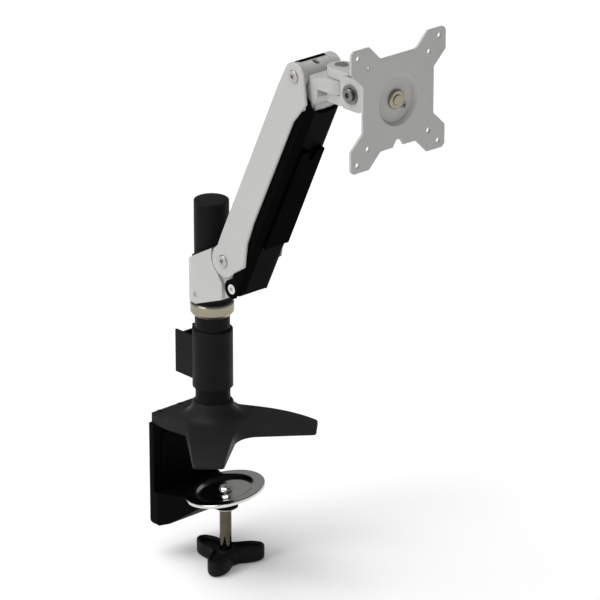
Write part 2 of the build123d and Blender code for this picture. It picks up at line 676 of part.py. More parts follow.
# ---- lower link: a black channel that opens towards the beam, and its cable cover ----
with BuildPart() as lower_link:
    with BuildSketch(link_side):
        Circle(radius=9.5)
        with Locations((arm_length, 0)):
            Circle(radius=9.5)
        Polygon((2, -9.3), (4, link_front), (arm_length + 2, link_front), (arm_length + 8, -5.1),
                (arm_length, link_rear), (0, link_rear), align=None)
    extrude(amount=link_half, both=True)
    with BuildSketch(link_section.offset(-20)):      # bevels along the front
        for x in (-1, 1):
            Polygon((x * (link_flat - 1.5), link_front - 1), (x * (link_half + 1), link_front - 1),
                    (x * (link_half + 1), link_bevel + 0.65), align=None)
    extrude(amount=280, mode=Mode.SUBTRACT)
    with BuildSketch(link_section.offset(-20)):      # hollow, open towards the beam
        Polygon((-link_inner, 20), (-link_inner, link_bevel - 0.4), (-link_flat, link_front + 2.6),
                (link_flat, link_front + 2.6), (link_inner, link_bevel - 0.4), (link_inner, 20), align=None)
    extrude(amount=280, mode=Mode.SUBTRACT)
    with BuildSketch(Plane(origin=link_side.from_local_coords((arm_length + 9, link_front, 0)),
                           x_dir=(1, 0, 0), z_dir=link_side.y_dir)):
        Ellipse(x_radius=link_inner, y_radius=14)
    extrude(amount=8, both=True, mode=Mode.SUBTRACT)
    with BuildSketch(link_side):
        Polygon((-20, -20), (-3, -20), (-3, 20), (-20, 20), align=None)
    extrude(amount=link_inner, both=True, mode=Mode.SUBTRACT)
    for along in (0, arm_length):
        with BuildSketch(link_side):
            with Locations((along, 0)):
                Circle(radius=link_pin_r + fit)
        extrude(amount=40, both=True, mode=Mode.SUBTRACT)
        for x in (-1, 1):
            with BuildSketch(link_side.offset(x * link_half)):
                with Locations((along, 0)):
                    Circle(radius=link_head_r + fit)
            extrude(amount=-x * 1.2, mode=Mode.SUBTRACT)
finish(lower_link, "lower_link")

with BuildPart() as cable_cover:
    cover_plane = Plane(origin=link_side.from_local_coords((62, link_front, 0)), x_dir=(1, 0, 0),
                        z_dir=-link_side.y_dir)
    with BuildSketch(cover_plane):
        Polygon((-15, 0), (15, 0), (14, 120), (5, 120), (3, 109), (-3, 109), (-5, 120), (-14, 120),
                align=None)
    extrude(amount=4)
    chamfer(cable_cover.faces().sort_by(Axis.Y)[0].outer_wire().edges(), length=1.2)
finish(cable_cover, "cable_cover")

# ---- head carrier: joins the beam and the link, and holds the vertical swivel ----
with BuildPart() as head_carrier:
    with BuildSketch(side):
        with Locations(head_pivot):
            Circle(radius=barrel_r)
        Polygon((head_pivot[0] - 4, head_pivot[1] - 10), (link_high[0] - 7.4, link_high[1] + 2.5),
                (link_high[0] + 5.5, link_high[1] - 0.5), (link_high[0] + 11.5, link_high[1] + 6),
                (-pan_y - 13.7, nose_bottom - 8), (-pan_y - 13.7, nose_bottom), (-pan_y, nose_bottom),
                (-pan_y, nose_top), (164, nose_top - 2),
                (head_pivot[0] + 15.4, head_pivot[1] + 2.0), (head_pivot[0] + 9, head_pivot[1] + 2.0),
                align=None)
    extrude(amount=nose_r, both=True)
    with BuildSketch(side):
        with Locations(link_high):
            Circle(radius=lug_r)
    extrude(amount=link_flat - 1.5, both=True)
    with BuildSketch(side):
        with Locations(link_high):
            Circle(radius=lug_end_r)
    extrude(amount=cheek_half, both=True)
    with Locations((0, pan_y, nose_bottom)):
        Cylinder(radius=nose_r, height=nose_top - nose_bottom, align=low)
    for x in (-1, 1):
        with BuildSketch(side.offset(x * (boss_inner - 0.2))):
            with Locations(head_pivot):
                Circle(radius=13.0)
        extrude(amount=x * 6, mode=Mode.SUBTRACT)
    with Locations((0, -head_pivot[0], head_pivot[1])):
        Cylinder(radius=bolt_r, height=60, rotation=across, mode=Mode.SUBTRACT)
    with Locations((0, -link_high[0], link_high[1])):
        Cylinder(radius=link_pin_r, height=60, rotation=across, mode=Mode.SUBTRACT)
    with Locations((0, pan_y, nose_bottom - 20)):
        Cylinder(radius=swivel_pin_r + 1.5, height=60, align=low, mode=Mode.SUBTRACT)
    with Locations((0, -head_pivot[0] - 3.5, head_pivot[1] + 5.4)):
        Cylinder(radius=3.4, height=20, align=low, mode=Mode.SUBTRACT)
finish(head_carrier, "head_carrier")

with BuildPart() as friction_screw:
    with Locations((0, -head_pivot[0] - 3.5, head_pivot[1] + 5.4)):
        Cylinder(radius=3.4, height=3.4, align=low)
    with BuildSketch(Plane.XY.offset(head_pivot[1] + 8.8)):
        with Locations((0, -head_pivot[0] - 3.5)):
            RegularPolygon(radius=2.0, side_count=6)
    extrude(amount=-2.4, mode=Mode.SUBTRACT)
finish(friction_screw, "friction_screw")

with BuildPart() as swivel_liner:                    # plastic liner of the swivel, flanged at both ends
    with Locations((0, pan_y, nose_bottom)):
        Cylinder(radius=swivel_pin_r + 1.5, height=nose_top - nose_bottom, align=low)
    with Locations((0, pan_y, nose_bottom - 0.7), (0, pan_y, nose_top)):
        Cylinder(radius=12, height=0.7, align=low)
    with Locations((0, pan_y, nose_top + 2)):
        Hole(radius=swivel_pin_r + fit)
finish(swivel_liner, "swivel_liner")

# ---- swivel bracket and tilt yoke ----
lug_top = nose_top + 10.0
lug_bottom = nose_bottom - 10.0

with BuildPart() as swivel_bracket:
    with BuildSketch(Plane.XY.offset(lug_bottom)):
        with Locations((0, pan_y)):
            Circle(radius=13)
        Polygon((-13, pan_y), (13, pan_y), (13, yoke_back), (-13, yoke_back), align=None)
    extrude(amount=lug_top - lug_bottom)
    with Locations((0, pan_y, nose_bottom - 0.8)):
        Cylinder(radius=nose_r + 0.7, height=nose_top - nose_bottom + 1.6, align=low, mode=Mode.SUBTRACT)
    with Locations((0, pan_y, lug_top)):
        Hole(radius=swivel_pin_r)
    fillet(swivel_bracket.edges().filter_by(GeomType.LINE).filter_by(
        lambda e: abs(e.center().Z - lug_top) < 0.1 and e.center().Y > yoke_back + 1), radius=1)
    with Locations((-9, yoke_back, 392), (9, yoke_back, 392), (-9, yoke_back, 411), (9, yoke_back, 411)):
        Cylinder(radius=1.5, height=7, rotation=forward, mode=Mode.SUBTRACT)
finish(swivel_bracket, "swivel_bracket")

with BuildPart() as swivel_pin:
    with Locations((0, pan_y, lug_bottom - 1.5)):
        Cylinder(radius=7, height=1.5, align=low)
    with Locations((0, pan_y, lug_bottom)):
        Cylinder(radius=swivel_pin_r, height=lug_top - lug_bottom + 0.4, align=low)
    with Locations((0, pan_y, lug_top)):
        Cylinder(radius=6.2, height=0.9, align=low)
finish(swivel_pin, "swivel_pin")

with BuildPart() as tilt_yoke:
    with BuildSketch(side):
        with BuildLine():
            Polyline((-yoke_back, 386.5), (225, 386.5), (235, 392), (235, 408), (227, 416.5),
                     (-yoke_back, 416.5), close=True)
        make_face()
    extrude(amount=yoke_half, both=True)
    fillet(tilt_yoke.edges().filter_by(Axis.X).filter_by(lambda e: e.center().Y < -220), radius=5)
    fillet(tilt_yoke.edges().filter_by(Axis.Z).filter_by(lambda e: e.center().Y > -205), radius=2.5)
    with BuildSketch(Plane.XY.offset(380)):
        with Locations((0, yoke_back - yoke_wall)):
            Rectangle(2 * (yoke_half - yoke_wall), 60, align=(Align.CENTER, Align.MAX))
    extrude(amount=50, mode=Mode.SUBTRACT)
    with Locations((0, tilt_y, tilt_z)):
        Cylinder(radius=bolt_r, height=60, rotation=across, mode=Mode.SUBTRACT)
    with Locations((-9, yoke_back, 392), (9, yoke_back, 392), (-9, yoke_back, 411), (9, yoke_back, 411)):
        Cylinder(radius=1.6, height=8, rotation=forward, mode=Mode.SUBTRACT)
finish(tilt_yoke, "tilt_yoke")

with BuildPart() as yoke_screws:
    for x in (-9, 9):
        for z in (392, 411):
            with Locations((x, yoke_back - yoke_wall / 2 + 1.5, z)):
                Cylinder(radius=1.5, height=yoke_wall + 3, rotation=forward)
            with Locations((x, yoke_back - yoke_wall - 0.5, z)):
                Cylinder(radius=3, height=1, rotation=forward)
finish(yoke_screws, "yoke_screws")

tilt_place = (-tilt_y, tilt_z)
with BuildPart() as tilt_washers:
    for x in (-1, 1):
        with BuildSketch(side.offset(x * yoke_half)):
            with Locations(tilt_place):
                Circle(radius=9.2)
                Circle(radius=bolt_r, mode=Mode.SUBTRACT)
        extrude(amount=x * 1.6)
finish(tilt_washers, "tilt_washers")

with BuildPart() as tilt_bolt:
    with BuildSketch(side.offset(yoke_half + 1.6)):
        with Locations(tilt_place):
            Circle(radius=6.3)
    extrude(amount=3.2)
    chamfer(tilt_bolt.faces().sort_by(Axis.X)[0].edges(), length=0.7)
    with BuildSketch(side.offset(yoke_half + 4.8)):
        with Locations(tilt_place):
            RegularPolygon(radius=2.9, side_count=6)
    extrude(amount=-2.4, mode=Mode.SUBTRACT)
    with BuildSketch(side.offset(-yoke_half - 7)):
        with Locations(tilt_place):
            Circle(radius=bolt_r)
    extrude(amount=2 * yoke_half + 8.6)
finish(tilt_bolt, "tilt_bolt")

with BuildPart() as tilt_nut:
    with BuildSketch(side.offset(-yoke_half - 1.6)):
        with Locations(tilt_place):
            RegularPolygon(radius=7.2, side_count=6)
            Circle(radius=bolt_r, mode=Mode.SUBTRACT)
    extrude(amount=-4.6)
finish(tilt_nut, "tilt_nut")

# ---- tilt block and screen plate ----
block_half = yoke_half - yoke_wall - 0.3
boss_front = plate_y + dish_depth + screen_plate_thick + 0.8

with BuildPart() as tilt_block:
    with Locations((0, tilt_y, tilt_z)):
        Cylinder(radius=8.2, height=2 * block_half, rotation=across)
    with BuildSketch(side):
        Polygon((-tilt_y, tilt_z - 8.2), (236, tilt_z - 9), (239, tilt_z - 9), (239, tilt_z + 9),
                (236, tilt_z + 9), (-tilt_y, tilt_z + 8.2), align=None)
    extrude(amount=block_half - 1, both=True)
    with BuildSketch(Plane(origin=(0, -237.5, tilt_z), x_dir=(1, 0, 0), z_dir=(0, -1, 0))):
        Circle(radius=15)
    extrude(amount=-237.5 - boss_front)
    with BuildSketch(side):
        Polygon((223.5, tilt_z - 20), (236, tilt_z - 20), (236, tilt_z + 20), (223.5, tilt_z + 20),
                align=None)
    extrude(amount=12, both=True, mode=Mode.SUBTRACT)
    with Locations((0, tilt_y, tilt_z)):
        Cylinder(radius=bolt_r + fit, height=60, rotation=across, mode=Mode.SUBTRACT)
    with Locations((0, -240, tilt_z)):
        Cylinder(radius=spindle_r + fit, height=30, rotation=forward, mode=Mode.SUBTRACT)
finish(tilt_block, "tilt_block")

with BuildPart() as plate_washer:
    with BuildSketch(Plane(origin=(0, boss_front, tilt_z), x_dir=(1, 0, 0), z_dir=(0, -1, 0))):
        Circle(radius=13)
        Circle(radius=spindle_r, mode=Mode.SUBTRACT)
    extrude(amount=0.7)
finish(plate_washer, "plate_washer")

arm_corner = [(36, 57.5), (55, 57.5), (58, 54.5), (58, 36)]
body_corner = 43.5
valley = 22.0
with BuildPart() as screen_plate:
    with BuildSketch(front_face) as plate_outline:
        quarter = [(valley, body_corner)] + arm_corner + [(body_corner, valley)]
        points = quarter + [(x, -y) for x, y in reversed(quarter)]
        points += [(-6.5, -body_corner), (-2.6, -37.0), (2.6, -37.0), (6.5, -body_corner)][::-1]
        points += [(-x, -y) for x, y in quarter] + [(-x, y) for x, y in reversed(quarter)]
        Polygon(*points, align=None)
        fillet(plate_outline.vertices().filter_by(
            lambda v: min(abs(v.X), abs(v.Z - tilt_z)) > 40
            and abs(v.X) + abs(v.Z - tilt_z) > 100), radius=2)
        fillet(plate_outline.vertices().filter_by(
            lambda v: abs(abs(v.X) - valley) < 0.1 or abs(abs(v.Z - tilt_z) - valley) < 0.1), radius=6)
    extrude(amount=-screen_plate_thick)
    with BuildSketch(front_face.offset(-screen_plate_thick)):
        Circle(radius=dish_r + 1.2)
    extrude(amount=-dish_depth, taper=28)
    with BuildSketch(front_face):
        Circle(radius=dish_r)
    extrude(amount=-dish_depth, taper=28, mode=Mode.SUBTRACT)
    with Locations(front_face):
        with GridLocations(vesa_large, vesa_large, 2, 2):
            Hole(radius=vesa_hole_r)
        with GridLocations(vesa_small, vesa_small, 2, 2):
            Hole(radius=vesa_hole_r)
        Hole(radius=spindle_r)
        with Locations((9.5, -7.5)):
            Hole(radius=1.6)
finish(screen_plate, "screen_plate")

dish_face = plate_y + dish_depth
with BuildPart() as plate_spindle:
    with BuildSketch(Plane(origin=(0, -228.5, tilt_z), x_dir=(1, 0, 0), z_dir=(0, -1, 0))):
        Circle(radius=spindle_r)
    extrude(amount=-228.5 - dish_face + 4.2)
    chamfer(plate_spindle.faces().sort_by(Axis.Y)[0].edges(), length=0.6)
finish(plate_spindle, "plate_spindle")

with BuildPart() as spindle_rear_nut:
    with BuildSketch(Plane(origin=(0, -230.2, tilt_z), x_dir=(1, 0, 0), z_dir=(0, -1, 0))):
        RegularPolygon(radius=8.4, side_count=6)
        Circle(radius=spindle_r, mode=Mode.SUBTRACT)
    extrude(amount=5.4)
finish(spindle_rear_nut, "spindle_rear_nut")

with BuildPart() as spindle_front_nut:
    with BuildSketch(Plane(origin=(0, dish_face, tilt_z), x_dir=(1, 0, 0), z_dir=(0, -1, 0))):
        Circle(radius=9)
        Circle(radius=spindle_r, mode=Mode.SUBTRACT)
    extrude(amount=3)
    chamfer(spindle_front_nut.faces().sort_by(Axis.Y)[0].outer_wire().edges(), length=0.8)
finish(spindle_front_nut, "spindle_front_nut")

with BuildPart() as stop_screw:
    with BuildSketch(Plane(origin=(9.5, dish_face, tilt_z - 7.5), x_dir=(1, 0, 0), z_dir=(0, -1, 0))):
        Circle(radius=2.9)
    extrude(amount=1.8)
    with BuildSketch(Plane(origin=(9.5, dish_face - 1.8, tilt_z - 7.5), x_dir=(1, 0, 0), z_dir=(0, -1, 0))):
        RegularPolygon(radius=1.5, side_count=6)
    extrude(amount=-1.2, mode=Mode.SUBTRACT)
    with BuildSketch(Plane(origin=(9.5, dish_face, tilt_z - 7.5), x_dir=(1, 0, 0), z_dir=(0, -1, 0))):
        Circle(radius=1.6)
    extrude(amount=-screen_plate_thick)
finish(stop_screw, "stop_screw")
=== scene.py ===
import json
import bmesh
import bpy
import numpy as np
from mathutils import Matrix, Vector


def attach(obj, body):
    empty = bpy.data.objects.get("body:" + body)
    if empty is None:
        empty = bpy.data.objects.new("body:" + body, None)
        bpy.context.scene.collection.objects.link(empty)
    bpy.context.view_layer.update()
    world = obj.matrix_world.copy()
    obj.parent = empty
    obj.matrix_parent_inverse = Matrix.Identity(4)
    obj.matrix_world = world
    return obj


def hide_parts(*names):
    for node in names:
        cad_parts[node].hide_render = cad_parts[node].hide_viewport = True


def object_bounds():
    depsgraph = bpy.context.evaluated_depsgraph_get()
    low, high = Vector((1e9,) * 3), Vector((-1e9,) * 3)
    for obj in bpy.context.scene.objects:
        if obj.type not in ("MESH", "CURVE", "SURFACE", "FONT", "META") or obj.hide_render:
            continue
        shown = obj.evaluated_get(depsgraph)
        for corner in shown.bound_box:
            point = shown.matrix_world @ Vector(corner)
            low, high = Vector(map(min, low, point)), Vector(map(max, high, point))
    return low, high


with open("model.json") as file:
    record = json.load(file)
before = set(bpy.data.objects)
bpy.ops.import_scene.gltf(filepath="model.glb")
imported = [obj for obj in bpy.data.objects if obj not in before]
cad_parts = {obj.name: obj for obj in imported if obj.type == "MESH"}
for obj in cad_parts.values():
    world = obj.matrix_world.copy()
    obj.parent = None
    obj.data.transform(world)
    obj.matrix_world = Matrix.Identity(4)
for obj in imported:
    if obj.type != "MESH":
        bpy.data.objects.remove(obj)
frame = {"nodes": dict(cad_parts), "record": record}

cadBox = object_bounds()
nodes = frame["nodes"]
print("monitor arm: frame loaded,", len(nodes), "pieces")

# camera, floor and light, in metres and degrees
viewSetup = {
    "azimuth": -42.54,
    "elevation": 21.91,
    "distance": 4.0,
    "target": (0.0621, -0.0569, 0.134),
    "lens": 250.2,
    "sensor": 36,
    "farthest": 50,
}
az, el = np.radians([viewSetup["azimuth"], viewSetup["elevation"]])
towards = np.array([np.sin(az) * np.cos(el), -np.cos(az) * np.cos(el), np.sin(el)])
eye = Vector(np.array(viewSetup["target"]) + viewSetup["distance"] * towards)
cameraData = bpy.data.cameras.new("productCamera")
cameraData.lens = viewSetup["lens"]
cameraData.sensor_width = viewSetup["sensor"]
cameraData.clip_end = viewSetup["farthest"]
camera = bpy.data.objects.new("productCamera", cameraData)
camera.location = eye
camera.rotation_euler = (Vector(viewSetup["target"]) - eye).to_track_quat("-Z", "Y").to_euler()
bpy.context.scene.collection.objects.link(camera)
bpy.context.scene.camera = camera

studio = {
    "floorSize": 14.0,
    "floorDrop": 0.0006,
    "skyStrength": 0.25,
    "topStrength": 2.1, "topFrom": (-0.3, 0.25, 1.0), "topSpread": 55,
    "leftStrength": 0.98, "leftFrom": (-1.0, 0.10, 0.42), "leftSpread": 32,
    "stripPower": 1.4, "stripSize": (0.25, 1.6),
    "stripAt": (-1.3, -1.0, 0.55), "stripAim": (0, -0.08, 0.15),
    "floorGlow": 0.12, "floorRough": 0.9, "floorSheen": 0.1,
    "floorTones": (0.93, 0.95), "floorPattern": 3.0,
}


def addSun(name, comesFrom, strength, spread):
    # a wide, even light from one direction; spread in degrees softens its shadows
    data = bpy.data.lights.new(name, "SUN")
    data.energy = strength
    data.angle = np.radians(spread)
    lamp = bpy.data.objects.new(name, data)
    lamp.rotation_euler = (-Vector(comesFrom)).to_track_quat("-Z", "Y").to_euler()
    bpy.context.scene.collection.objects.link(lamp)


addSun("topLight", studio["topFrom"], studio["topStrength"], studio["topSpread"])
addSun("leftLight", studio["leftFrom"], studio["leftStrength"], studio["leftSpread"])
stripData = bpy.data.lights.new("stripLight", "AREA")
stripData.shape = "RECTANGLE"
stripData.size, stripData.size_y = studio["stripSize"]
stripData.energy = studio["stripPower"]
strip = bpy.data.objects.new("stripLight", stripData)
strip.location = studio["stripAt"]
stripLook = Vector(studio["stripAim"]) - Vector(studio["stripAt"])
strip.rotation_euler = stripLook.to_track_quat("-Z", "Y").to_euler()
bpy.context.scene.collection.objects.link(strip)

world = bpy.data.worlds.new("paleStudio")
world.use_nodes = True
world.node_tree.nodes["Background"].inputs["Color"].default_value = (1, 1, 1, 1)
world.node_tree.nodes["Background"].inputs["Strength"].default_value = studio["skyStrength"]
bpy.context.scene.world = world
bpy.context.scene.view_settings.view_transform = "Standard"
print("camera and light set")


# materials: small helpers that build shader nodes on Object coordinates
def startMaterial(name):
    mat = bpy.data.materials.new(name)
    mat.use_nodes = True
    tree = mat.node_tree
    return mat, tree, tree.nodes["Principled BSDF"]


def grey(tone):
    return (tone, tone, tone)


def link(tree, a, aOut, b, bIn):
    tree.links.new(a.outputs[aOut], b.inputs[bIn])


def patternNode(tree, kind, scale, stretch=(1, 1, 1), detail=3.0):
    # noise or cells in the piece's own metres; stretch draws the pattern out along an axis
    coord = tree.nodes.new("ShaderNodeTexCoord")
    place = tree.nodes.new("ShaderNodeMapping")
    place.inputs["Scale"].default_value = stretch
    link(tree, coord, "Object", place, "Vector")
    if kind == "noise":
        tex = tree.nodes.new("ShaderNodeTexNoise")
        tex.inputs["Detail"].default_value = detail
    else:
        tex = tree.nodes.new("ShaderNodeTexVoronoi")
    tex.inputs["Scale"].default_value = scale
    link(tree, place, "Vector", tex, "Vector")
    return tex


def rangeNode(tree, source, out, low, high, fromLow=0.3, fromHigh=0.7):
    node = tree.nodes.new("ShaderNodeMapRange")
    node.inputs["From Min"].default_value = fromLow
    node.inputs["From Max"].default_value = fromHigh
    node.inputs["To Min"].default_value = low
    node.inputs["To Max"].default_value = high
    link(tree, source, out, node, "Value")
    return node


def mixColour(tree, factor, out, first, second):
    node = tree.nodes.new("ShaderNodeMix")
    node.data_type = "RGBA"
    node.inputs["A"].default_value = (*first, 1)
    node.inputs["B"].default_value = (*second, 1)
    link(tree, factor, out, node, "Factor")
    return node


# what all the finishes share: flecks begin and are full at these pattern values; an edge counts as
# rubbed where the cosine between its eased and its flat normal falls from wearTo to wearFrom
finishSetup = {
    "fleckFrom": 0.2, "fleckTo": 0.8, "wearFrom": 0.80, "wearTo": 0.985,
    "grainFiner": 1.3, "grainStrength": 0.6, "easeSamples": 4, "waveStrength": 0.5,
}


def makeFinish(name, look):
    # look: two colours that drift into each other, a rubbed edge tone, roughness range,
    # a fine grain for the bump, a slow wave under it, and how far edges are eased
    mat, tree, shader = startMaterial(name)
    shader.inputs["Metallic"].default_value = look["metal"]
    shader.inputs["Specular IOR Level"].default_value = look.get("specular", 0.5)
    stretch = look.get("stretch", (1, 1, 1))
    drift = patternNode(tree, "noise", look["driftScale"], stretch)
    tone = mixColour(tree, rangeNode(tree, drift, "Fac", 0, 1), "Result", look["colour"], look["second"])
    fleckKind = look.get("fleckKind", "cells")
    fleck = patternNode(tree, fleckKind, look["grainScale"], stretch)
    fleckMask = rangeNode(tree, fleck, "Distance" if fleckKind == "cells" else "Fac",
                          0, look["fleckAmount"], finishSetup["fleckFrom"], finishSetup["fleckTo"])
    speckled = tree.nodes.new("ShaderNodeMix")
    speckled.data_type = "RGBA"
    speckled.inputs["B"].default_value = (*look["fleck"], 1)
    link(tree, fleckMask, "Result", speckled, "Factor")
    link(tree, tone, "Result", speckled, "A")
    ease = tree.nodes.new("ShaderNodeBevel")
    ease.samples = finishSetup["easeSamples"]
    ease.inputs["Radius"].default_value = look["ease"]
    geometry = tree.nodes.new("ShaderNodeNewGeometry")
    lean = tree.nodes.new("ShaderNodeVectorMath")
    lean.operation = "DOT_PRODUCT"
    link(tree, ease, "Normal", lean, 0)
    link(tree, geometry, "Normal", lean, 1)
    edge = rangeNode(tree, lean, "Value", look["wear"], 0, finishSetup["wearFrom"], finishSetup["wearTo"])
    worn = tree.nodes.new("ShaderNodeMix")
    worn.data_type = "RGBA"
    worn.inputs["B"].default_value = (*look["edge"], 1)
    link(tree, edge, "Result", worn, "Factor")
    link(tree, speckled, "Result", worn, "A")
    link(tree, worn, "Result", shader, "Base Color")
    smudge = patternNode(tree, "noise", look["smudgeScale"], (1, 1, 1), 5.0)
    rough = rangeNode(tree, smudge, "Fac", look["roughLow"], look["roughHigh"])
    link(tree, rough, "Result", shader, "Roughness")
    grain = patternNode(tree, "noise", look["grainScale"] * finishSetup["grainFiner"], stretch, 4.0)
    fine = tree.nodes.new("ShaderNodeBump")
    fine.inputs["Distance"].default_value = look["grainDepth"]
    fine.inputs["Strength"].default_value = finishSetup["grainStrength"]
    link(tree, grain, "Fac", fine, "Height")
    link(tree, ease, "Normal", fine, "Normal")
    wave = patternNode(tree, "noise", look["waveScale"], (1, 1, 1), 1.0)
    slow = tree.nodes.new("ShaderNodeBump")
    slow.inputs["Distance"].default_value = look["waveDepth"]
    slow.inputs["Strength"].default_value = finishSetup["waveStrength"]
    link(tree, wave, "Fac", slow, "Height")
    link(tree, fine, "Normal", slow, "Normal")
    link(tree, slow, "Normal", shader, "Normal")
    return mat


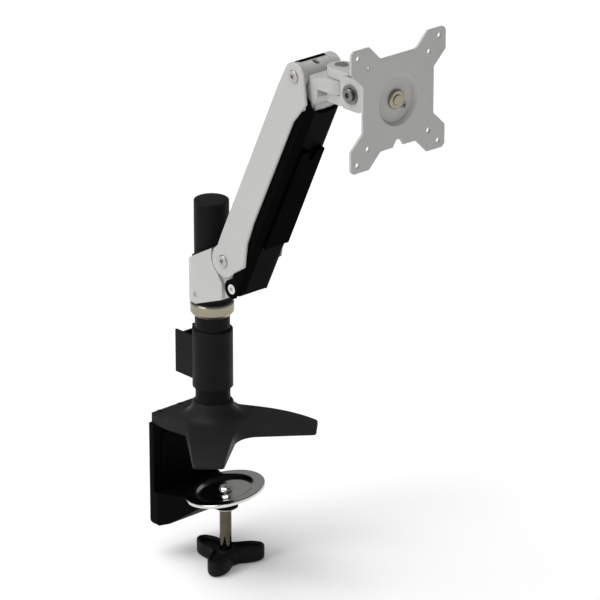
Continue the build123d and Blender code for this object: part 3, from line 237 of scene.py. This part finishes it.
finishes = {
    "silver_paint": {
        "colour": (0.425, 0.424, 0.409), "second": (0.452, 0.451, 0.436), "fleck": (0.54, 0.54, 0.525),
        "edge": (0.66, 0.66, 0.65), "fleckAmount": 0.35, "wear": 0.35, "metal": 0.0, "driftScale": 14,
        "grainScale": 2600, "grainDepth": 0.00006, "waveScale": 90, "waveDepth": 0.00006,
        "smudgeScale": 30, "roughLow": 0.36, "roughHigh": 0.48, "ease": 0.001, "specular": 0.4,
    },
    "black_powder_coat": {
        "colour": grey(0.0115), "second": grey(0.0145), "fleck": grey(0.022),
        "edge": grey(0.045), "fleckAmount": 0.5, "wear": 0.4, "metal": 0.0, "driftScale": 18,
        "grainScale": 1500, "grainDepth": 0.00012, "waveScale": 160, "waveDepth": 0.00005,
        "smudgeScale": 26, "roughLow": 0.42, "roughHigh": 0.55, "ease": 0.0009, "specular": 0.080,
    },
    "pole_coat": {
        "colour": grey(0.0052), "second": grey(0.0068), "fleck": grey(0.0105),
        "edge": grey(0.035), "fleckAmount": 0.5, "wear": 0.4, "metal": 0.0, "driftScale": 18,
        "grainScale": 1700, "grainDepth": 0.00010, "waveScale": 160, "waveDepth": 0.00004,
        "smudgeScale": 26, "roughLow": 0.4, "roughHigh": 0.52, "ease": 0.0009, "specular": 0.050,
    },
    "bracket_coat": {
        "colour": grey(0.0014), "second": grey(0.002), "fleck": grey(0.0038),
        "edge": grey(0.022), "fleckAmount": 0.5, "wear": 0.4, "metal": 0.0, "driftScale": 18,
        "grainScale": 1500, "grainDepth": 0.00012, "waveScale": 160, "waveDepth": 0.00005,
        "smudgeScale": 26, "roughLow": 0.42, "roughHigh": 0.55, "ease": 0.0009, "specular": 0.02,
    },
    "black_moulded_plastic": {
        "colour": grey(0.0062), "second": grey(0.008), "fleck": grey(0.0125),
        "edge": grey(0.03), "fleckAmount": 0.4, "wear": 0.3, "metal": 0.0, "driftScale": 16,
        "grainScale": 2200, "grainDepth": 0.00008, "waveScale": 60, "waveDepth": 0.00006,
        "smudgeScale": 22, "roughLow": 0.42, "roughHigh": 0.55, "ease": 0.0008, "specular": 0.070,
    },
    "black_link_paint": {
        "colour": grey(0.0012), "second": grey(0.0016), "fleck": grey(0.0028),
        "edge": grey(0.015), "fleckAmount": 0.3, "wear": 0.25, "metal": 0.0, "driftScale": 12,
        "grainScale": 1900, "grainDepth": 0.00005, "waveScale": 70, "waveDepth": 0.00004,
        "smudgeScale": 24, "roughLow": 0.38, "roughHigh": 0.5, "ease": 0.0009, "specular": 0.012,
    },
    "gloss_black_cover": {
        "colour": grey(0.0002), "second": grey(0.0003), "fleck": grey(0.0006),
        "edge": grey(0.0015), "fleckAmount": 0.2, "wear": 0.2, "metal": 0.0, "driftScale": 15,
        "grainScale": 2400, "grainDepth": 0.00002, "waveScale": 50, "waveDepth": 0.00003,
        "smudgeScale": 30, "roughLow": 0.34, "roughHigh": 0.46, "ease": 0.0008, "specular": 0.004,
    },
    "nickel_plate": {
        "colour": (0.27, 0.245, 0.185), "second": (0.32, 0.29, 0.225), "fleck": (0.4, 0.37, 0.29),
        "edge": (0.62, 0.59, 0.5), "fleckAmount": 0.3, "wear": 0.4, "metal": 1.0, "driftScale": 60,
        "grainScale": 900, "grainDepth": 0.00003, "waveScale": 70, "waveDepth": 0.00002,
        "smudgeScale": 40, "roughLow": 0.24, "roughHigh": 0.36, "ease": 0.0006,
        "stretch": (1, 1, 12), "fleckKind": "noise",
    },
    "bright_chrome": {
        "colour": (0.66, 0.65, 0.63), "second": (0.69, 0.68, 0.66), "fleck": (0.73, 0.72, 0.70),
        "edge": (0.72, 0.71, 0.69), "fleckAmount": 0.2, "wear": 0.3, "metal": 1.0, "driftScale": 30,
        "grainScale": 700, "grainDepth": 0.00001, "waveScale": 45, "waveDepth": 0.00002,
        "smudgeScale": 60, "roughLow": 0.11, "roughHigh": 0.18, "ease": 0.0006, "fleckKind": "noise",
    },
    # chrome rod painted dark: painted reflection, its dark base colours stand in for the dark surroundings
    # the chrome rod reflects
    "rod_chrome_painted_dark": {
        "colour": (0.082, 0.070, 0.050), "second": (0.102, 0.088, 0.064), "fleck": (0.145, 0.127, 0.096),
        "edge": (0.5, 0.48, 0.44), "fleckAmount": 0.2, "wear": 0.3, "metal": 1.0, "driftScale": 60,
        "grainScale": 900, "grainDepth": 0.00001, "waveScale": 60, "waveDepth": 0.00002,
        "smudgeScale": 60, "roughLow": 0.1, "roughHigh": 0.18, "ease": 0.0005,
        "stretch": (1, 1, 8), "fleckKind": "noise",
    },
    "zinc_steel": {
        "colour": (0.4, 0.4, 0.38), "second": (0.47, 0.46, 0.44), "fleck": (0.6, 0.58, 0.55),
        "edge": (0.75, 0.73, 0.7), "fleckAmount": 0.4, "wear": 0.5, "metal": 1.0, "driftScale": 120,
        "grainScale": 1300, "grainDepth": 0.00004, "waveScale": 140, "waveDepth": 0.00002,
        "smudgeScale": 90, "roughLow": 0.26, "roughHigh": 0.4, "ease": 0.0005,
    },
    "dark_zinc": {
        "colour": (0.16, 0.158, 0.148), "second": (0.20, 0.197, 0.185), "fleck": (0.30, 0.295, 0.28),
        "edge": (0.55, 0.54, 0.52), "fleckAmount": 0.4, "wear": 0.5, "metal": 1.0, "driftScale": 120,
        "grainScale": 1300, "grainDepth": 0.00004, "waveScale": 140, "waveDepth": 0.00002,
        "smudgeScale": 90, "roughLow": 0.26, "roughHigh": 0.40, "ease": 0.0005,
    },
    "white_pin": {
        "colour": (0.56, 0.56, 0.545), "second": (0.6, 0.6, 0.585), "fleck": (0.66, 0.66, 0.65),
        "edge": (0.72, 0.72, 0.71), "fleckAmount": 0.3, "wear": 0.3, "metal": 0.0, "driftScale": 90,
        "grainScale": 2500, "grainDepth": 0.00003, "waveScale": 90, "waveDepth": 0.00002,
        "smudgeScale": 60, "roughLow": 0.28, "roughHigh": 0.38, "ease": 0.0006,
    },
    "nylon": {
        "colour": (0.56, 0.55, 0.52), "second": (0.6, 0.59, 0.56), "fleck": (0.65, 0.64, 0.61),
        "edge": (0.7, 0.69, 0.66), "fleckAmount": 0.3, "wear": 0.2, "metal": 0.0, "driftScale": 60,
        "grainScale": 1800, "grainDepth": 0.00004, "waveScale": 90, "waveDepth": 0.00003,
        "smudgeScale": 60, "roughLow": 0.36, "roughHigh": 0.48, "ease": 0.0004,
    },
    "pad_rubber": {
        "colour": grey(0.01), "second": grey(0.014), "fleck": grey(0.022),
        "edge": grey(0.02), "fleckAmount": 0.4, "wear": 0.2, "metal": 0.0, "driftScale": 40,
        "grainScale": 1400, "grainDepth": 0.00015, "waveScale": 120, "waveDepth": 0.00005,
        "smudgeScale": 50, "roughLow": 0.7, "roughHigh": 0.85, "ease": 0.0004, "specular": 0.10,
    },
    "black_cylinder_paint": {
        "colour": grey(0.01), "second": grey(0.013), "fleck": grey(0.018),
        "edge": grey(0.03), "fleckAmount": 0.2, "wear": 0.3, "metal": 0.0, "driftScale": 40,
        "grainScale": 1900, "grainDepth": 0.00003, "waveScale": 90, "waveDepth": 0.00003,
        "smudgeScale": 50, "roughLow": 0.22, "roughHigh": 0.33, "ease": 0.0006, "specular": 0.25,
    },
}
materials = {name: makeFinish(name, look) for name, look in finishes.items()}
ownFinish = {                 # pieces given a darker or warmer variant of their kind's finish; the clamp screw's chrome rod is painted dark, a painted reflection of the dark surroundings it mirrors
    "pole_tube": "pole_coat",
    "clamp_bracket": "bracket_coat",
    "back_pad": "bracket_coat",
    "clamp_screw": "rod_chrome_painted_dark",
    "tilt_washers": "dark_zinc",
    "tilt_bolt": "dark_zinc",
    "friction_screw": "dark_zinc",
    "stop_screw": "dark_zinc",
}
for entry in frame["record"]["subparts"]:
    mesh = nodes[entry["node"]].data
    mesh.materials.clear()
    mesh.materials.append(materials[ownFinish.get(entry["node"], entry["material_slot"])])
print("finishes made:", len(materials))


# pieces worked out as surfaces, in metres
def gridPiece(name, points, body, slot, node):
    # points is (rings, around, 3): each ring is a closed loop. Where the last ring meets the first,
    # or a ring shrinks to one point, the doubled points are merged, so that the surface is closed.
    rings, around = points.shape[:2]
    ring = np.arange(rings - 1)[:, None]
    step = np.arange(around)[None, :]
    a = ring * around + step
    b = ring * around + (step + 1) % around
    faces = np.stack([a, b, b + around, a + around], axis=-1).reshape(-1, 4)
    mesh = bpy.data.meshes.new(name)
    mesh.from_pydata(points.reshape(-1, 3).tolist(), [], faces.tolist())
    shell = bmesh.new()
    shell.from_mesh(mesh)
    bmesh.ops.remove_doubles(shell, verts=shell.verts, dist=1e-6)
    bmesh.ops.recalc_face_normals(shell, faces=shell.faces)
    shell.to_mesh(mesh)
    shell.free()
    mesh.polygons.foreach_set("use_smooth", np.ones(len(mesh.polygons), bool))
    mesh.update()
    mesh.materials.append(materials[slot])
    piece = bpy.data.objects.new(name, mesh)
    bpy.context.scene.collection.objects.link(piece)
    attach(piece, body)
    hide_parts(node)


def roundedProfile(corners, radii, steps=6):
    # a closed profile whose corners are rounded: each corner gives way to an arc-like curve
    # P = (1-t)^2 A + 2t(1-t) C + t^2 B between points A and B that lie radius away from corner C
    c = np.asarray(corners, float)
    r = np.asarray(radii, float)[:, None]
    back = np.roll(c, 1, axis=0) - c
    ahead = np.roll(c, -1, axis=0) - c
    reachBack = np.minimum(r, 0.49 * np.linalg.norm(back, axis=1, keepdims=True))
    reachAhead = np.minimum(r, 0.49 * np.linalg.norm(ahead, axis=1, keepdims=True))
    a = c + back / np.linalg.norm(back, axis=1, keepdims=True) * reachBack
    b = c + ahead / np.linalg.norm(ahead, axis=1, keepdims=True) * reachAhead
    t = np.linspace(0, 1, steps)[None, :, None]
    curve = (1 - t) ** 2 * a[:, None] + 2 * t * (1 - t) * c[:, None] + t ** 2 * b[:, None]
    curve = curve.reshape(-1, 2)
    return np.vstack([curve, curve[:1]])


disc = {                      # pressed steel disc on top of the clamp screw, in metres and degrees
    "centre": (0, -0.017, -0.0621), "lean": 10.4, "levelLine": 47.5, "around": 144,
    "hole": 0.0044, "floorHalf": 0.0011, "floorOut": 0.0245, "rimIn": 0.0312, "rimUp": 0.0046,
    "rimOut": 0.0400, "skirtDown": 0.0012, "sheet": 0.0022, "skirt": 0.0018,
}
q, lean = np.radians([disc["levelLine"], disc["lean"]])
level = np.array([np.cos(q), np.sin(q), 0])
up = np.array([-level[1] * np.sin(lean), level[0] * np.sin(lean), np.cos(lean)])
across = np.cross(up, level)
skirtIn = disc["rimOut"] - disc["skirt"]
rimUnder = disc["rimUp"] - disc["sheet"]
# each corner of the disc's section: how far out, how far up, and how much it is rounded
discCorners = np.array([
    (disc["hole"], disc["floorHalf"], 0.0003), (disc["floorOut"], disc["floorHalf"], 0.0030),
    (disc["rimIn"], disc["rimUp"], 0.0030), (disc["rimOut"], disc["rimUp"], 0.0011),
    (disc["rimOut"], disc["skirtDown"], 0.0004), (skirtIn, disc["skirtDown"], 0.0004),
    (skirtIn, rimUnder, 0.0006), (disc["rimIn"] + 0.0014, rimUnder, 0.0020),
    (disc["floorOut"] + 0.0018, -disc["floorHalf"], 0.0020), (disc["hole"], -disc["floorHalf"], 0.0003),
])
profile = roundedProfile(discCorners[:, :2], discCorners[:, 2])[::-1]
turn = np.linspace(0, 2 * np.pi, disc["around"], endpoint=False)
# one unit vector for each direction in the disc's plane: cos(t) level + sin(t) across
spoke = np.cos(turn)[:, None] * level + np.sin(turn)[:, None] * across
# P = centre + r spoke(t) + h up, for each point (r, h) of the section
discPoints = (np.array(disc["centre"]) + profile[:, 0][:, None, None] * spoke[None]
              + profile[:, 1][:, None, None] * up)
gridPiece("pressedDisc", discPoints, "clamp_disc", "bright_chrome", "clamp_disc")

knob = {                      # three-lobed hand knob, in metres and degrees
    "centre": (0, -0.017), "bottom": -0.137, "top": -0.1215, "turn": 91, "lobes": 3,
    "reach": 0.0388, "valley": 0.0148, "sharp": 1.75,
    "dish": 0.0030, "boss": 0.0105, "hole": 0.00596,
    "socket": 0.0097, "socketDeep": 0.0060, "around": 288,
}
phi = np.linspace(0, 2 * np.pi, knob["around"], endpoint=False)
# the outline's radius against direction phi:
# R = valley + (reach - valley) (1/2 + 1/2 cos(lobes (phi - turn)))^sharp
wave = (0.5 + 0.5 * np.cos(knob["lobes"] * (phi - np.radians(knob["turn"])))) ** knob["sharp"]
outlineR = knob["valley"] + (knob["reach"] - knob["valley"]) * wave
outline = np.stack([outlineR * np.cos(phi), outlineR * np.sin(phi)], axis=1)
along = np.roll(outline, -1, axis=0) - np.roll(outline, 1, axis=0)
inward = np.stack([-along[:, 1], along[:, 0]], axis=1) / np.linalg.norm(along, axis=1, keepdims=True)
circle = np.stack([np.cos(phi), np.sin(phi)], axis=1)
height = knob["top"] - knob["bottom"]
dishUp = height - knob["dish"]
# each ring: how far in from the outline, its height, and how far it has turned into a circle of that radius
rings = np.array([
    (0, knob["socketDeep"], 1, knob["hole"]), (0, knob["socketDeep"], 1, knob["socket"]),
    (0, 0.0004, 1, knob["socket"]), (0, 0.0, 1, knob["socket"] + 0.0004),
    (0.0040, 0.0, 0, 0), (0.0026, 0.0, 0, 0), (0.0014, 0.0003, 0, 0),
    (0.0005, 0.0011, 0, 0), (0.0001, 0.0022, 0, 0), (0.0, 0.0040, 0, 0), (0.0, height / 2, 0, 0),
    (0.0, height - 0.0030, 0, 0), (0.0002, height - 0.0014, 0, 0), (0.0007, height - 0.0005, 0, 0),
    (0.0015, height - 0.0001, 0, 0), (0.0022, height - 0.0001, 0, 0), (0.0028, height - 0.0006, 0, 0),
    (0.0032, height - 0.0018, 0, 0), (0.0036, dishUp, 0, 0), (0.0044, dishUp, 0, 0),
    (0, dishUp, 1, knob["boss"] + 0.0008), (0, dishUp + 0.0006, 1, knob["boss"]),
    (0, height - 0.0010, 1, knob["boss"] - 0.0008), (0, height - 0.0006, 1, knob["boss"] - 0.0014),
    (0, height - 0.0006, 1, knob["hole"] + 0.0004), (0, height - 0.0012, 1, knob["hole"]),
    (0, knob["socketDeep"], 1, knob["hole"]),
])
inset, lift, isCircle, circleR = (rings[:, k][:, None, None] for k in range(4))
flat = (1 - isCircle) * (outline[None] + inward[None] * inset) + isCircle * circle[None] * circleR
knobPoints = np.concatenate([flat + np.array(knob["centre"]),
                             np.broadcast_to(knob["bottom"] + lift, flat.shape[:2] + (1,))], axis=2)
gridPiece("handKnob", knobPoints, "clamp_screw", "black_moulded_plastic", "clamp_knob")

cap = {                       # moulded cap that plugs the top of the pole, in metres
    "radius": 0.01695, "seat": 0.2360, "top": 0.2380, "round": 0.0012, "crown": 0.0004,
    "plug": 0.0144, "plugDeep": 0.009,
}
capAngle = np.linspace(0, np.pi / 2, 8)
crownR = np.linspace(cap["radius"] - cap["round"], 0, 14)[1:]
plugEnd = cap["seat"] - cap["plugDeep"]
# from the axis under the plug, out to the rim, round it, and back to the axis
# over the crown z = top - crown (r / radius)^2
capR = np.concatenate([[0, cap["plug"], cap["plug"], cap["radius"]],
                       cap["radius"] - cap["round"] * (1 - np.cos(capAngle)), crownR])
capZ = np.concatenate([[plugEnd, plugEnd, cap["seat"], cap["seat"]],
                       cap["top"] - cap["round"] + cap["round"] * np.sin(capAngle) - cap["crown"],
                       cap["top"] - cap["crown"] * (crownR / cap["radius"]) ** 2])
capPoints = np.stack([capR[:, None] * np.cos(turn), capR[:, None] * np.sin(turn),
                      np.broadcast_to(capZ[:, None], (len(capR), len(turn)))], axis=2)
gridPiece("poleCap", capPoints, "root", "black_moulded_plastic", "pole_cap")
print("surfaces made: disc, knob, cap")

# floor
lowest = cadBox[0][2] - studio["floorDrop"]
half = studio["floorSize"] / 2
floorMesh = bpy.data.meshes.new("studioFloor")
floorCorners = [(x * half, y * half, lowest) for x, y in ((-1, -1), (1, -1), (1, 1), (-1, 1))]
floorMesh.from_pydata(floorCorners, [], [(0, 1, 2, 3)])
floor = bpy.data.objects.new("studioFloor", floorMesh)
bpy.context.scene.collection.objects.link(floor)
floorMat, floorTree, floorShader = startMaterial("paleFloor")
floorShader.inputs["Roughness"].default_value = studio["floorRough"]
floorShader.inputs["Specular IOR Level"].default_value = studio["floorSheen"]
floorShader.inputs["Emission Color"].default_value = (1, 1, 1, 1)
floorShader.inputs["Emission Strength"].default_value = studio["floorGlow"]
floorNoise = patternNode(floorTree, "noise", studio["floorPattern"])
floorTone = mixColour(floorTree, rangeNode(floorTree, floorNoise, "Fac", 0, 1), "Result",
                      grey(studio["floorTones"][0]), grey(studio["floorTones"][1]))
link(floorTree, floorTone, "Result", floorShader, "Base Color")
floorMesh.materials.append(floorMat)

print("scene ready")
